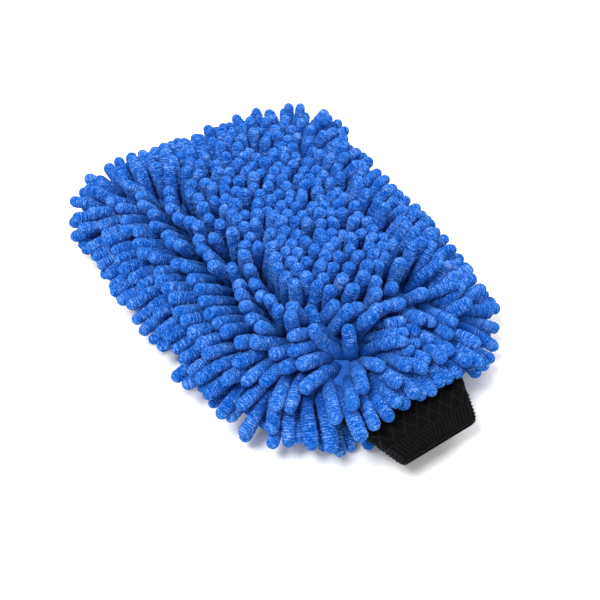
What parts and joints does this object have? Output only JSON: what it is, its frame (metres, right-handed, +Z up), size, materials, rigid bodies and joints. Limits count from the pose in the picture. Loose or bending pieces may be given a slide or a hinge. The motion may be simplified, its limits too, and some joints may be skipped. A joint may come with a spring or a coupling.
{
  "type": "chenille wash mitt",
  "caption": "Flat hand mitt of two lined cloth panels covered in chenille noodles, with a knitted wrist cuff; the back panel lifts to open the hand pocket.",
  "frame": {"origin": "middle of the mitt's plan on the surface that it lies on", "axes": "+Z up, +Y along the mitt towards the fingers, +X across the mitt to the right as seen from the cuff"},
  "size_m": [0.2158, 0.2856, 0.0574],
  "materials": {
    "blue_chenille": "microfibre chenille, fuzzy, matte",
    "blue_base_cloth": "close knitted polyester, matte",
    "pocket_lining": "thin brushed polyester lining, matte",
    "blue_thread": "polyester sewing thread",
    "seam_allowance": "overlocked cut edge",
    "elastic_band": "covered rubber elastic",
    "black_thread": "black overlock thread",
    "black_knit": "black jacquard rib knit, matte"
  },
  "bodies": {
    "lower_half": {"lower_base_cloth": "blue_base_cloth", "lower_lining": "pocket_lining", "lower_row_stitching": "blue_thread", "lower_side_seam": "seam_allowance", "lower_noodle_rows": "blue_chenille", "lower_finger_edge_noodles": "blue_chenille", "lower_left_edge_noodles": "blue_chenille", "lower_right_edge_noodles": "blue_chenille", "lower_left_corner_noodles": "blue_chenille", "lower_right_corner_noodles": "blue_chenille", "lower_wrist_noodles": "blue_chenille", "lower_cuff_knit": "black_knit", "lower_cuff_welt": "black_knit", "lower_cuff_elastic": "elastic_band", "lower_cuff_seam": "black_thread"},
    "upper_half": {"upper_base_cloth": "blue_base_cloth", "upper_lining": "pocket_lining", "upper_row_stitching": "blue_thread", "upper_side_seam": "seam_allowance", "upper_noodle_rows": "blue_chenille", "upper_finger_edge_noodles": "blue_chenille", "upper_left_edge_noodles": "blue_chenille", "upper_right_edge_noodles": "blue_chenille", "upper_left_corner_noodles": "blue_chenille", "upper_right_corner_noodles": "blue_chenille", "upper_wrist_noodles": "blue_chenille", "upper_cuff_knit": "black_knit", "upper_cuff_welt": "black_knit", "upper_cuff_elastic": "elastic_band", "upper_cuff_seam": "black_thread"}
  },
  "joints": [
    {"name": "pocket_open", "type": "hinge", "parent": "lower_half", "child": "upper_half", "pos_m": [0, 0.11522, 0.022], "axis": [-1, 0, 0], "range_deg": [0, 9]}
  ]
}
